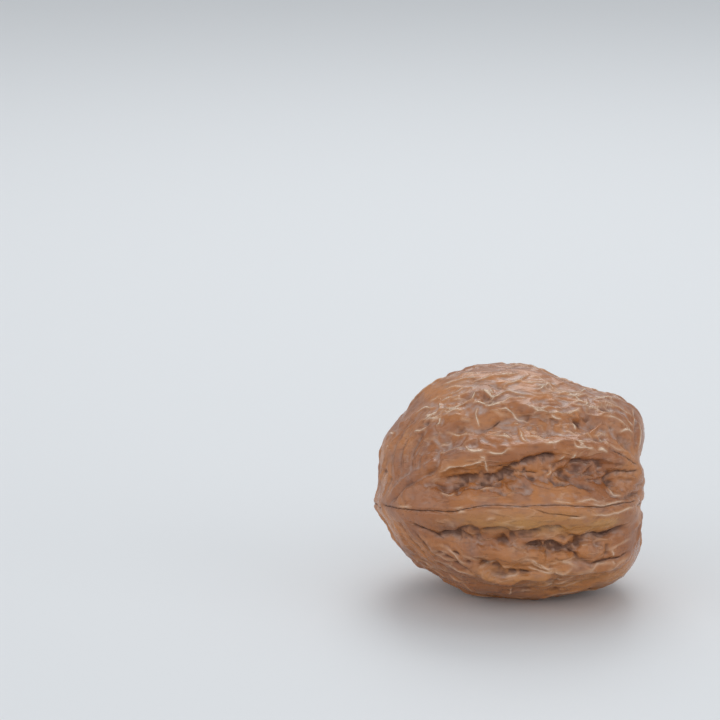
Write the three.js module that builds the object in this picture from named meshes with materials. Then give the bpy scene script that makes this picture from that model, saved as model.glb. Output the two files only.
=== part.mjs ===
// A whole walnut in its shell, lying on its side. Millimetres, +Z up.
//
// X runs along the nut, from its pointed tip at -X to its stem end at +X. The two halves of the
// shell meet in the seam plane, which holds the X axis and is rolled about it, so the seam edge
// that faces -Y stands a little higher than the one that faces +Y. The nut is one grown piece:
// the seam is a closed line in its surface. The origin is the middle of its bounding box, at the
// level of the small flat spot that it rests on.
import * as THREE from "three";
import { mergeVertices } from "three/addons/utils/BufferGeometryUtils.js";

// Driving dimensions.
const LENGTH = 42; // tip to stem end
const UPPER_THICKNESS = 21.3; // seam plane to the top of the fuller half
const LOWER_THICKNESS = 13.9; // seam plane to the bottom of the flatter half
const HALF_WIDTH = 18.2; // middle of the nut to either seam edge
const ROLL = THREE.MathUtils.degToRad(15.5); // the -Y edge of the seam is this much above level
const RESTING_CUT = 0.7; // how far the flat spot cuts into the round underside
const SURFACE_DETAIL = 20; // subdivisions of the sphere that the shell is shaped from
const MERGE_DISTANCE = 1e-5; // points of the unit sphere closer than this are one point

const MIDDLE = LENGTH / 2;
const RAD = Math.PI / 180;

// Half outlines, from tip to stem end. Each point is a share of LENGTH from the tip, then a share
// of that side's own thickness or half width.
const OUTLINES = {
  upper: {
    reach: UPPER_THICKNESS,
    points: [
      [0.035, 0.0], [0.03, 0.16], [0.029, 0.34], [0.04, 0.475], [0.11, 0.65], [0.18, 0.81],
      [0.25, 0.91], [0.36, 0.99], [0.5, 1.0], [0.61, 0.98], [0.69, 0.925], [0.8, 0.845],
      [0.9, 0.795], [0.965, 0.72], [0.999, 0.6], [0.997, 0.46], [0.975, 0.35], [0.977, 0.15],
      [0.965, 0.0],
    ],
  },
  lower: {
    reach: LOWER_THICKNESS,
    points: [
      [0.035, 0.0], [0.045, 0.13], [0.072, 0.25], [0.096, 0.43], [0.143, 0.59], [0.23, 0.715],
      [0.3, 0.83], [0.37, 0.95], [0.46, 0.99], [0.57, 1.0], [0.68, 0.98], [0.78, 0.925],
      [0.87, 0.875], [0.93, 0.78], [0.97, 0.61], [0.99, 0.4], [0.978, 0.2], [0.965, 0.0],
    ],
  },
  side: {
    reach: HALF_WIDTH,
    points: [
      [0.035, 0.0], [0.04, 0.15], [0.065, 0.36], [0.12, 0.59], [0.21, 0.8], [0.33, 0.94],
      [0.47, 1.0], [0.62, 0.995], [0.76, 0.915], [0.87, 0.77], [0.945, 0.57], [0.975, 0.36],
      [0.975, 0.17], [0.965, 0.0],
    ],
  },
};

// A function that runs smoothly through points whose first number always grows.
function smoothThrough(points, samples = 240) {
  const curve = new THREE.SplineCurve(points.map(([a, b]) => new THREE.Vector2(a, b)));
  const line = curve.getPoints(samples);
  return (a) => {
    const next = line.findIndex((point) => point.x > a);
    if (next === 0) return line[0].y;
    if (next < 0) return line[line.length - 1].y;
    const [before, after] = [line[next - 1], line[next]];
    return before.y + ((after.y - before.y) * (a - before.x)) / (after.x - before.x);
  };
}

// An outline as the distance from the nut's middle, by the angle from the tip's direction.
function polarOutline({ reach, points }) {
  return smoothThrough(
    points.map(([along, out]) => {
      const [x, y] = [along * LENGTH - MIDDLE, out * reach];
      return [Math.atan2(y, -x), Math.hypot(x, y)];
    }),
  );
}

const upper = polarOutline(OUTLINES.upper);
const lower = polarOutline(OUTLINES.lower);
const side = polarOutline(OUTLINES.side);

// Ridges and grooves that run lengthwise. A path gives degrees round the nut from the -Y seam
// edge, up over the fuller half to 180 at the other edge, by mm from the tip. Each one rises over
// END_FADE mm from its first end and sinks the same way to its last, and an end past the nut's own
// leaves it standing there. Height is in mm, below zero for a groove, and width is the full width.
const END_FADE = 5;
const PAST_TIP = -END_FADE;
const PAST_STEM = LENGTH + END_FADE;
const BAND_END = LENGTH + 1.5; // the bands have nearly sunk away when they reach the stem end
const lengthwise = [
  // The raised band that carries the seam, on both edges, lower at the stem end.
  { from: PAST_TIP, to: BAND_END, height: 1.0, width: 6.4,
    path: [[0, 0], [12, -4], [23, -3.5], [34, -3], [LENGTH, -2]] },
  { from: PAST_TIP, to: BAND_END, height: 1.0, width: 6.0,
    path: [[0, 180], [15, 182], [30, 179], [LENGTH, 180]] },
  // Above the -Y edge: the shoulder ridge, and the groove between it and the band.
  { from: 3, to: PAST_STEM, height: 1.1, width: 5.0,
    path: [
      [3, 6], [7.5, 15], [11, 21], [15, 25], [24, 27], [28, 29.5], [33, 32.5], [37, 33], [LENGTH, 30],
    ] },
  { from: 9, to: 42, height: -1.5, width: 5.4,
    path: [[9, 11], [15, 13.5], [24, 15], [33, 17.5], [LENGTH, 15]] },
  // Below the -Y edge: the groove under the band, and the next ridge.
  { from: 8, to: 40, height: -1.3, width: 5.2,
    path: [[8, -17], [15, -19], [24, -19.5], [33, -18], [LENGTH, -17]] },
  { from: 13, to: 42, height: 0.8, width: 4.6,
    path: [[13, -33], [19, -46], [24, -45], [28, -39], [34, -40], [LENGTH, -43]] },
  // The same four along the +Y edge.
  { from: 4, to: 42, height: 0.9, width: 5.2,
    path: [[4, 166], [12, 153], [24, 150], [34, 148], [LENGTH, 152]] },
  { from: 9, to: 40, height: -1.3, width: 5.2, path: [[9, 168], [20, 165], [30, 164], [LENGTH, 168]] },
  { from: 9, to: 40, height: -1.2, width: 5.0, path: [[9, 197], [20, 200], [30, 198], [LENGTH, 195]] },
  { from: 7, to: 41, height: 0.8, width: 5.0, path: [[7, 207], [18, 222], [28, 218], [LENGTH, 210]] },
];

// Lower ridges over the cheeks, which wander from side to side.
const CHEEK_RIDGES = { upper: [52, 74, 97, 121], lower: [244, 268, 290] };
const CHEEK_RIDGE = { from: 4, to: 39, height: 0.45, width: 5.5, wanderDegrees: 5, wanderLength: 17 };
const CHEEK_STEPS = 12; // even steps from tip to stem end
for (const degrees of [...CHEEK_RIDGES.upper, ...CHEEK_RIDGES.lower]) {
  const path = [];
  for (let step = 0; step <= CHEEK_STEPS; step++) {
    const along = (step * LENGTH) / CHEEK_STEPS;
    const wave = Math.sin((2 * Math.PI * along) / CHEEK_RIDGE.wanderLength + degrees);
    path.push([along, degrees + CHEEK_RIDGE.wanderDegrees * wave]);
  }
  lengthwise.push({ ...CHEEK_RIDGE, path });
}
for (const ridge of lengthwise) ridge.degreesAt = smoothThrough(ridge.path);

const POLE_FADE = 5; // mm from the axis within which ridges sink into the tip and the stem end

// How much the ridges and grooves lift the surface at a place, in mm.
function relief(along, degrees, fromAxis) {
  let lift = 0;
  for (const ridge of lengthwise) {
    let apart = degrees - ridge.degreesAt(along);
    apart -= 360 * Math.round(apart / 360);
    const share = Math.abs(apart * RAD * fromAxis) / (ridge.width / 2);
    if (share >= 1) continue;
    const profile = (1 - share * share) ** 2;
    const risen = THREE.MathUtils.smoothstep(along, ridge.from, ridge.from + END_FADE);
    const sunk = THREE.MathUtils.smoothstep(along, ridge.to - END_FADE, ridge.to);
    lift += ridge.height * profile * risen * (1 - sunk);
  }
  return lift * THREE.MathUtils.smoothstep(fromAxis, 0, POLE_FADE);
}

// The pointed nub at the tip.
const NUB_HEIGHT = 1.4;
const NUB_RADIUS = 2.4;

// A point of the shell in the direction of a unit vector, with the seam in its XY plane.
function shellPoint(direction) {
  const fromTip = Math.acos(THREE.MathUtils.clamp(-direction.x, -1, 1));
  const round = Math.atan2(direction.z, -direction.y); // 0 at the -Y seam edge, growing upwards
  const cheek = direction.z > 0 ? upper(fromTip) : lower(fromTip);
  const edge = side(fromTip);
  let radius = 1 / Math.hypot(Math.cos(round) / edge, Math.sin(round) / cheek);
  const fromAxis = radius * Math.sin(fromTip);
  const along = MIDDLE - radius * Math.cos(fromTip);
  radius += relief(along, round / RAD, fromAxis);
  if (fromTip < Math.PI / 2) radius += NUB_HEIGHT * Math.exp(-((fromAxis / NUB_RADIUS) ** 2) * 2);
  return direction.clone().multiplyScalar(radius);
}

function makeWalnut() {
  const sphere = new THREE.IcosahedronGeometry(1, SURFACE_DETAIL);
  sphere.deleteAttribute("normal");
  sphere.deleteAttribute("uv");
  const geometry = mergeVertices(sphere, MERGE_DISTANCE);
  const position = geometry.getAttribute("position");
  const point = new THREE.Vector3();
  for (let i = 0; i < position.count; i++) {
    point.fromBufferAttribute(position, i).normalize();
    position.setXYZ(i, ...shellPoint(point).toArray());
  }
  geometry.rotateX(-ROLL);

  // The resting spot: everything below its level is pressed flat.
  geometry.computeBoundingBox();
  const level = geometry.boundingBox.min.z + RESTING_CUT;
  for (let i = 0; i < position.count; i++) position.setZ(i, Math.max(position.getZ(i), level));

  geometry.computeBoundingBox();
  const middle = geometry.boundingBox.getCenter(new THREE.Vector3());
  geometry.translate(-middle.x, -middle.y, -level);
  geometry.computeVertexNormals();
  return geometry;
}

const shell = new THREE.MeshStandardMaterial({ color: 0xa5673c, roughness: 0.5, metalness: 0 });
const walnut = new THREE.Mesh(makeWalnut(), shell);
walnut.name = "walnut";

const part = new THREE.Group();
part.add(walnut);
export default part;
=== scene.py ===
# %% [markdown]
# # A walnut in its shell
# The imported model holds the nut's true size and broad form in one closed node. The real shell is
# far finer than that: ridges, pits, creases and thin raised veins, all grown into one hard skin.
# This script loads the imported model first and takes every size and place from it.

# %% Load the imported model
import math

import bpy
import numpy as np
from mathutils import Matrix, Vector, noise
from mathutils.bvhtree import BVHTree


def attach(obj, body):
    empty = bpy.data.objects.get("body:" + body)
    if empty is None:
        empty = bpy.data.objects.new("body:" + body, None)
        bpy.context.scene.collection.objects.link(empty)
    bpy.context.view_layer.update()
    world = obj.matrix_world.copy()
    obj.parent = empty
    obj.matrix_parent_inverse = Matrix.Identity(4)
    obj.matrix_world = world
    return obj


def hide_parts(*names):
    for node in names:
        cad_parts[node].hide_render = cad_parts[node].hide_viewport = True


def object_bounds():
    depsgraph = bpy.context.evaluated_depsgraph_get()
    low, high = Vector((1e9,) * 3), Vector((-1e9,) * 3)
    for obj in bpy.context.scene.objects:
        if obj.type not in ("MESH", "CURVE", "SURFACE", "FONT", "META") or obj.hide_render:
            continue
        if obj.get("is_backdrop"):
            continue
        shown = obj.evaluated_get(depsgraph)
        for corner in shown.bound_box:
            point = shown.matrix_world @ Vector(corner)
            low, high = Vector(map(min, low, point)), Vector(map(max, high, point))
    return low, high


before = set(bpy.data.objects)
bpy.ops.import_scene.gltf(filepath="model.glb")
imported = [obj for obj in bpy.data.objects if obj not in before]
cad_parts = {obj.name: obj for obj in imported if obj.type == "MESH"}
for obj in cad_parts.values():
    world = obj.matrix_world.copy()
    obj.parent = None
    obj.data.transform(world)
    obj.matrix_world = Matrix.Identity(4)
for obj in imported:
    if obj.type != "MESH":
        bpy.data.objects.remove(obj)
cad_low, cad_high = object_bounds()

MM = 0.001
CAD_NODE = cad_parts["walnut"]
print("walnut box, mm:", [round((h - l) / MM, 1) for l, h in zip(cad_low, cad_high)])

# %% [markdown]
# ## The nut's own directions
# A nut that lies on its side is awkward to draw on, because its seam is tilted. All the shaping is
# done in the nut's own directions instead: mm along it from the tip, mm sideways, and mm above the
# seam. Two small functions turn points between those and the model's metres.

# %% The nut's own directions
ROLL = math.radians(15.5)  # the front edge of the seam stands this much higher than level
SEAM_AXIS = np.array([-21.09, -0.15, 14.0])  # mm: tip end of the nut's axis, in the model
NUT_LENGTH = 42.0
LEVEL = np.array(Matrix.Rotation(-ROLL, 3, "X"))


def to_nut(points):
    """Model metres to mm along the nut, sideways, and above its seam."""
    return (points / MM - SEAM_AXIS) @ LEVEL


def to_model(points):
    """The nut's own mm to the model's metres."""
    return (points @ LEVEL.T + SEAM_AXIS) * MM


# %% [markdown]
# ## The camera
# A long lens, well back, looks a little down at the front edge of the seam. A long lens keeps the
# nut's proportions true, where a short one close by would swell the middle.

# %% The camera
VIEW_DISTANCE = 550 * MM
VIEW_ELEVATION = ROLL  # the seam's front edge is seen square on
AIM_LEFT, AIM_UP = 23.1 * MM, 18.5 * MM  # the nut sits right of and below the picture's middle
centre = (Vector(cad_low) + Vector(cad_high)) / 2
backwards = Vector((0, -math.cos(VIEW_ELEVATION), math.sin(VIEW_ELEVATION)))
upwards = Vector((0, math.sin(VIEW_ELEVATION), math.cos(VIEW_ELEVATION)))

lens = bpy.data.cameras.new("camera")
lens.sensor_width = 36
lens.lens = 178
lens.clip_start, lens.clip_end = 0.01, 20
camera = bpy.data.objects.new("camera", lens)
camera.location = centre + backwards * VIEW_DISTANCE
aim = centre - Vector((AIM_LEFT, 0, 0)) + upwards * AIM_UP
camera.rotation_euler = (aim - camera.location).to_track_quat("-Z", "Y").to_euler()
bpy.context.collection.objects.link(camera)
bpy.context.scene.camera = camera
print("camera, m:", [round(c, 3) for c in camera.location])

# %% [markdown]
# ## The blank
# A carver starts from a smooth blank. Here it is a cube's grid blown up to a sphere, which has
# even four-sided faces and no poles, and each of its points is thrown from the nut's middle onto
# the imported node. Smoothing it a little takes away that node's flat facets. A UV sphere would be
# simpler, but it crowds its faces into two poles, just where the tip and the stem end are.

# %% A sphere of even squares
GRID = 128  # squares along each edge of the cube, which keeps the shell under 200,000 triangles


def even_sphere(squares):
    """Unit directions, and the faces that join them, of a cube's grid blown up to a sphere."""
    steps = np.tan(np.linspace(-math.pi / 4, math.pi / 4, squares + 1))
    across, up = np.meshgrid(steps, steps, indexing="ij")
    ones = np.ones_like(across)
    sides = []
    for axis in range(3):
        for sign in (1, -1):
            side = np.stack([sign * ones, across * sign, up], axis=-1)
            sides.append(np.roll(side, axis, axis=-1).reshape(-1, 3))
    points = np.concatenate(sides)
    points /= np.linalg.norm(points, axis=1, keepdims=True)
    count = squares + 1
    corner = (np.arange(squares)[:, None] * count + np.arange(squares)[None, :]).ravel()
    face = np.stack([corner, corner + count, corner + count + 1, corner + 1], axis=1)
    faces = np.concatenate([face + k * count * count for k in range(6)])
    _, first, merged = np.unique(np.round(points, 6), axis=0, return_index=True, return_inverse=True)
    return points[first], merged.ravel()[faces]


directions, faces = even_sphere(GRID)
print("points:", len(directions), "faces:", len(faces))

# %% Neighbours, for smoothing
edges = np.concatenate([faces[:, [k, (k + 1) % 4]] for k in range(4)])
edges = edges[np.lexsort((edges[:, 1], edges[:, 0]))]
starts = np.searchsorted(edges[:, 0], np.arange(len(directions)))
counts = np.diff(np.append(starts, len(edges)))
fourth = np.where(counts > 3, 3, 0)  # the cube's eight corners have three neighbours
neighbours = np.stack([edges[starts + k, 1] for k in (0, 1, 2, fourth)], axis=1)


def smoothed(values, rounds):
    """Values at the points, each evened out with its neighbours' a number of times."""
    for _ in range(rounds):
        values = (values + values[neighbours].mean(axis=1)) / 2
    return values


def dot(a, b):
    """How far each vector of a reaches along the vector of b in its row."""
    return np.einsum("ij,ij->i", a, b)


def normals_of(points):
    """Outward directions at the points, from the faces round them."""
    diagonals = points[faces[:, 2]] - points[faces[:, 0]], points[faces[:, 3]] - points[faces[:, 1]]
    face_normals = np.cross(*diagonals)
    total = np.zeros_like(points)
    for corner in range(4):
        for axis in range(3):
            total[:, axis] += np.bincount(faces[:, corner], face_normals[:, axis], len(points))
    return total / np.linalg.norm(total, axis=1, keepdims=True)


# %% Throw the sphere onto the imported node
BLANK_SMOOTHING = 8  # rounds
THROWN_FROM = Vector((NUT_LENGTH / 2, 0, 3))  # mm: the middle of the nut, well inside its shell
node_points = [to_nut(np.array(CAD_NODE.matrix_world @ v.co)) for v in CAD_NODE.data.vertices]
node_faces = [tuple(face.vertices) for face in CAD_NODE.data.polygons]
node_tree = BVHTree.FromPolygons([tuple(p) for p in node_points], node_faces)
blank = np.array([node_tree.ray_cast(THROWN_FROM, Vector(d))[0] for d in directions])
blank = smoothed(blank, BLANK_SMOOTHING)
blank_normals = normals_of(blank)
blank_tree = BVHTree.FromPolygons(blank.tolist(), faces.tolist())
print("blank, mm:", np.round(blank.min(axis=0), 1), np.round(blank.max(axis=0), 1))

# %% [markdown]
# ## Drawing on the blank
# The shell's relief is carved with strokes. A stroke is a path drawn on one side of the nut, with
# a width and a height: above zero it raises the shell, below zero it cuts in. A path drawn on the
# "front" is thrown from where the viewer stands. One drawn "round" the nut is thrown outwards from
# its axis, and gives mm along and degrees round it: 0 at the front edge of the seam, 90 on top,
# 180 at the back edge. One drawn on an end, "tip" or "stem", gives mm sideways and above the seam.

# %% Throw a path onto the blank
eye = Vector(to_nut(np.array(camera.location)))
END_DEPTH = 60.0  # mm beyond either end from which an end's paths are thrown
PATH_STEP = 0.35  # mm between the points of a path that are thrown


def throw(side, a, b):
    """The point of the blank that a path's point lands on."""
    if side == "front":
        start, towards = eye, Vector((a, 0, b)) - eye
    elif side == "round":
        angle = math.radians(b)
        start, towards = Vector((a, 0, 0)), Vector((0, -math.cos(angle), math.sin(angle)))
    else:
        outside = -END_DEPTH if side == "tip" else NUT_LENGTH + END_DEPTH
        start, towards = Vector((outside, a, b)), Vector((-math.copysign(1, outside), 0, 0))
    return blank_tree.ray_cast(start, towards.normalized())[0]


def curve_through(path):
    """Points close together on the smooth curve (Catmull-Rom) through a path's points."""
    knots = np.array([path[0], *path, path[-1]], dtype=float)
    points = []
    for before, start, end, after in zip(knots, knots[1:], knots[2:], knots[3:]):
        steps = max(1, int(np.linalg.norm(end - start) / PATH_STEP))
        for t in np.arange(steps) / steps:
            bend = 2 * before - 5 * start + 4 * end - after
            twist = 3 * start - before - 3 * end + after
            points.append(start + 0.5 * t * ((end - before) + t * (bend + t * twist)))
    return [*points, knots[-1]]


# %% [markdown]
# ## The kinds of stroke
# Each kind has a cross-section: its height by the share of its half width from its middle. It also
# leaves in the colour a share of dark (stain), which is residue and painted shade in what it cuts,
# and of pale vein, which is a paler colour and a painted highlight. A ledge leans: it falls like a
# wall on the left of its path, and comes back slowly on the right. Stray says how far the kind's
# edges wander, because nothing grown has an even edge.

# %% The kinds of stroke
def stroke_kind(section, stain_and_shade=0.0, pale=0.0, lean=1.0, stray=1.0):
    """What one kind of stroke does."""
    return {"section": section, "stain_and_shade": stain_and_shade, "pale": pale, "lean": lean, "stray": stray}


STROKES = {
    "swell": stroke_kind(lambda u: (1 - u**3) ** 2),
    "ridge": stroke_kind(lambda u: (1 - u**2) ** 2, pale=0.1, stray=0.7),
    "hollow": stroke_kind(lambda u: (1 - u**2) ** 2),
    "groove": stroke_kind(lambda u: (1 - u**1.5) ** 1.8, stain_and_shade=0.1, stray=0.6),
    "pit": stroke_kind(lambda u: (1 - u**2.2) ** 1.5, stain_and_shade=0.6),
    "crease": stroke_kind(lambda u: (1 - u) ** 1.7, stain_and_shade=0.7, stray=0.3),
    "ledge": stroke_kind(lambda u: (1 - u) ** 1.5, stain_and_shade=0.45, lean=0.22, stray=0.6),
    "vein": stroke_kind(lambda u: (1 - u**2) ** 1.3, pale=1.0, stray=0.45),
}
NARROWEST = 0.84  # mm, four squares of the mesh: a narrower bump would come out ragged
TAPER = 1.6  # mm over which a stroke rises at each of its ends, or a third of a short one
NO_TAPER = 0.01  # mm, for a stroke that is a single point
END_SHARE = 0.35  # of its height that a stroke already has where it starts


def swirled(points, size, amount):
    """Points moved by up to about amount mm, by noise with lumps of a size in mm."""
    return points + amount * np.array([noise.noise_vector(Vector(point) / size) for point in points])


STRAY_SEED = 1  # without a seed of its own, the noise would be another at every run
noise.seed_set(STRAY_SEED)
stray = swirled(swirled(blank, 2.4, 0.45), 0.9, 0.28) - blank
print("stroke edges stray by up to", round(np.abs(stray).max(), 2), "mm")


# %% Distances from a line
def line_distances(points, normals, line):
    """From a line of short pieces: each point's distance, how far along it is, and if it is left."""
    nearest = np.full(len(points), np.inf)
    along = np.zeros(len(points))
    left = np.zeros(len(points), dtype=bool)
    run = 0.0
    for start, end in zip(line, line[1:]):
        piece = end - start
        length = np.linalg.norm(piece)
        share = np.clip((points - start) @ piece / max(length**2, 1e-9), 0, 1)
        offset = points - start - share[:, None] * piece
        distance = np.linalg.norm(offset, axis=1)
        closer = distance < nearest
        nearest[closer] = distance[closer]
        along[closer] = run + share[closer] * length
        left[closer] = dot(np.cross(piece, offset), normals)[closer] > 0
        run += length
    return nearest, along, left, run


# %% [markdown]
# ## Lines finer than the mesh
# A vein's crest and a crease's bottom are finer than the mesh can hold. Their signed distance is
# kept at every point close by instead, and how near the line is, so that the finish can draw them
# sharp between the points. A finer mesh would do the same, but it would have to be ten times as big.

# %% Keep the fine lines
FINE_REACH = 0.8  # mm to either side within which the distance is kept
FINE_NEAR = 0.32  # mm from the line at which its nearness has fallen to nothing
FINE_HEIGHT = 0.22  # mm: a lower stroke than this has a fainter line
fine_lines = {
    kind: {"offset": np.full(len(blank), 2 * FINE_REACH), "nearness": np.zeros(len(blank))}
    for kind in ("vein", "crease")
}


def keep_fine_line(kind, height, near, distance, left, ends):
    """Keeps a line at the points near it that no other line is closer to."""
    offset, nearness = fine_lines[kind]["offset"], fine_lines[kind]["nearness"]
    closer = distance < np.abs(offset[near])
    offset[near[closer]] = np.where(left, distance, -distance)[closer]
    strength = min(1, abs(height) / FINE_HEIGHT)
    nearness[near[closer]] = (strength * ends * np.clip(1 - distance / FINE_NEAR, 0, 1))[closer]


# %% Carve a stroke
lift, stain_and_shade, pale = np.zeros((3, len(blank)))


def carve(side, strokes):
    """Adds strokes, each (kind, width, height, path), to the lift and the colour shares."""
    missed = 0
    for kind, width, height, path in strokes:
        landed = [throw(side, a, b) for a, b in curve_through(path)]
        line = np.array([p for p in landed if p is not None])
        if len(line) == 0:
            missed += 1
            continue
        if len(line) == 1:
            line = np.repeat(line, 2, axis=0)
        look = STROKES[kind]
        reach = max(width, NARROWEST) / 2
        kept = max(reach, FINE_REACH) if kind in fine_lines else reach
        moved = blank + look["stray"] * stray
        near = np.all((moved > line.min(axis=0) - kept) & (moved < line.max(axis=0) + kept), axis=1)
        near = np.flatnonzero(near)
        distance, along, left, run = line_distances(moved[near], blank_normals[near], line)
        taper = max(min(TAPER, run / 3), NO_TAPER)
        ends = np.clip(np.minimum(along, run - along) / taper, 0, 1)
        if kind in fine_lines:
            keep_fine_line(kind, height, near, distance, left, ends)
        share = distance / (reach * np.where(left, look["lean"], 1))
        inside = share < 1
        near, share, ends = near[inside], share[inside], ends[inside]
        section = look["section"](share) * (END_SHARE + (1 - END_SHARE) * ends * (2 - ends))
        lift[near] += height * section
        stain_and_shade[near] = np.maximum(stain_and_shade[near], look["stain_and_shade"] * section)
        pale[near] = np.maximum(pale[near], look["pale"] * section)
    print(side, "strokes:", len(strokes), "missed:", missed)


# %% [markdown]
# ## The front
# The front of the nut is carved stroke by stroke: the fine line of the seam on its smooth
# band, the row of deep pits between the band and the shoulder, the creases under the band's lower
# edge, and the thin veins that run over the upper cheek. Noise could fill the surface faster, but
# no noise grows a shoulder over a pit. The strokes are grouped by kind, each (width, height, path)
# in mm, and one without a width is as narrow as the mesh can hold. A path's points are mm from the
# tip, then mm above the seam.

# %% The seam and its band
front_band = {
    "crease": [
        (-0.35, [(1.5, -0.2), (4, -0.7), (9, -1.05), (13, -1), (15.5, -0.4), (18, -0.05), (24, -0.1),
                 (29, 0.1), (33.5, -0.1), (36, 0), (38, 0.35), (41, 1)]),
        (-0.25, [(25, -0.45), (27.2, -1.1), (31.5, -1.6), (33, -1.75)]),
    ],
    "vein": [
        (0.15, [(4.2, -0.4), (6.3, -0.45)]),
        (0.18, [(12.8, -0.55), (14.4, -0.5)]),
        (0.18, [(13.2, -1.25), (14.7, -1.05)]),
        (0.22, [(27.8, 0.6), (29.5, 0.5), (31.1, 0.3)]),
        (0.18, [(33.6, 0.2), (36.3, 0.2), (38, 0.6), (39.2, 0.9)]),
        (0.18, [(31.2, 0.4), (32.5, 0.6), (33.7, 0.95), (35, 0.7), (36.2, 0.65)]),
        (0.22, [(33.7, -1.5), (35.2, -1.35), (36.6, -1.3), (38, -0.9), (40.4, -0.1)]),
        (0.15, [(30.3, -1.8), (31.2, -1.8), (32.3, -1.85), (33.3, -1.8)]),
        (0.33, [(10.7, 1.85), (11.8, 1.35), (12.6, 1.4), (12.9, 1.9)]),
        (0.39, [(16, 3), (16.6, 2.4), (17.6, 2.35), (19.2, 2.75)]),
        (0.11, [(17.6, -2.5), (18.4, -2.2), (19.3, -1.9)]),
        (0.13, [(22, -3.3), (23.8, -3.3)]),
    ],
    "swell": [
        (3.4, 0.45, [(4.6, 0.9), (6.5, 1.6), (8.6, 1.8), (10.6, 1.1)]),
        (5, 0.25, [(20, -1.9), (24, -1.9), (29, -1.4)]),
    ],
    "groove": [
        (1.5, -0.5, [(2.6, 0.2), (3.6, 0.9), (4.7, 2.1), (6.2, 3.3), (7.8, 4.1), (9.6, 4.5)]),
    ],
    "ridge": [
        (1.9, 0.4, [(2.8, 1.3), (4, 2.6), (5.6, 4), (7.4, 5.1), (9.6, 5.9)]),
        (2.2, 0.35, [(9, 2.4), (10.6, 1.9), (12, 1.3), (14, 1.9), (17.4, 1.9), (19.2, 2.4)]),
    ],
    "hollow": [
        (1.8, -0.35, [(8.6, 3.5), (10.3, 2.9), (11.6, 2.4), (12.6, 2.5)]),
    ],
}

# %% The pits between the band and the shoulder
front_pits = {
    "pit": [
        (1.65, -0.46, [(12.6, 2.7), (13.4, 2.4)]),
        (1.65, -0.54, [(13.5, 3), (14.3, 3.5), (15.1, 3.6)]),
        (2.42, -0.46, [(16.7, 3.3), (17.6, 3.5), (18.4, 4)]),
        (1.76, -0.6, [(19.2, 4.7), (20.3, 5), (21.3, 4.9), (22, 4.6)]),
        (1.21, -0.46, [(19.9, 2.7), (20.2, 1.9)]),
        (1.98, -0.65, [(21.6, 2.9), (22.3, 3)]),
        (1.98, -0.65, [(22.8, 3.3), (23.8, 2.9), (24.1, 2.3), (23.6, 2)]),
        (1.32, -0.3, [(24.5, 4.5), (24.6, 4)]),
        (1.87, -0.46, [(23.2, 6.7), (24.6, 6.8), (25.3, 7.2)]),
        (1.76, -0.6, [(25.7, 7.3), (26.9, 7.4), (28.5, 7.6)]),
        (1.43, -0.54, [(26.6, 6.8), (27, 6.3)]),
        (1.21, -0.54, [(27.8, 4.1), (28.3, 3.6), (29.5, 3.4), (30.3, 3.5)]),
        (1.43, -0.6, [(28.9, 4.7), (29.8, 4.3), (31, 4.1)]),
        (1.1, -0.46, [(29, 5.4), (29.7, 5)]),
        (1.32, -0.54, [(30.6, 6.8), (31.6, 6.7)]),
        (1.21, -0.6, [(31.5, 3.8), (32.3, 3.2), (33.2, 3.2)]),
        (1.98, -0.46, [(33.6, 3.2), (33.7, 2.5)]),
        (1.65, -0.6, [(34.7, 6.8), (35.4, 6.4), (36.1, 6.3)]),
        (1.43, -0.6, [(36.2, 5), (37.1, 4.6)]),
    ],
    "ridge": [
        (1, 0.6, [(20.1, 3.6), (20.6, 2.9), (20.9, 2.4), (21.2, 1.9)]),
        (0.9, 0.66, [(22.4, 4.8), (23.2, 4.3), (24, 3.6)]),
        (0.48, [(22.7, 8), (22.6, 6.9), (22.7, 6.3), (22.4, 5.6)]),
        (0.9, 0.54, [(25.2, 5.4), (25.6, 6.3)]),
        (1, 0.54, [(29.8, 5.6), (30, 6.7)]),
        (0.6, [(34, 6.7), (33.1, 6.1), (32.4, 5.5), (32.1, 4.5)]),
        (1.5, 0.42, [(32.8, 4.3), (34, 4.5), (35, 4.7)]),
        (0.9, 0.54, [(37.2, 4.6), (38.5, 4.85), (40, 4.75), (41.3, 4.3)]),
    ],
    "crease": [
        (1, -0.4, [(23.2, 5.1), (24.5, 5.15), (25.6, 5)]),
        (1.5, -0.48, [(36.8, 5.4), (38.2, 5.3), (40, 5.3), (41.4, 5.5)]),
    ],
    "vein": [
        (0.39, [(26.9, 4.5), (27.5, 5), (27.8, 5.6)]),
        (0.44, [(28.8, 7), (29.7, 7.7)]),
        (0.44, [(30.6, 7.3), (31.4, 8.2)]),
        (0.28, [(36.1, 2.9), (36.8, 2.2), (37.5, 1.75), (38.7, 1.65)]),
    ],
    "hollow": [
        (2.2, -0.6, [(31.2, 6.1), (31.5, 5.3)]),
        (1.8, -0.5, [(34.9, 5.8), (35.6, 5.6)]),
        (2.1, -0.7, [(36.5, 4.1), (36.8, 3.3)]),
        (1.3, -0.5, [(36.3, 2.4), (37, 1.8), (38.5, 1.4), (40, 1.6), (41.3, 1.9)]),
    ],
    "swell": [
        (3, 0.4, [(37.6, 3), (39.2, 2.9), (41, 3.4)]),
    ],
}

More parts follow.
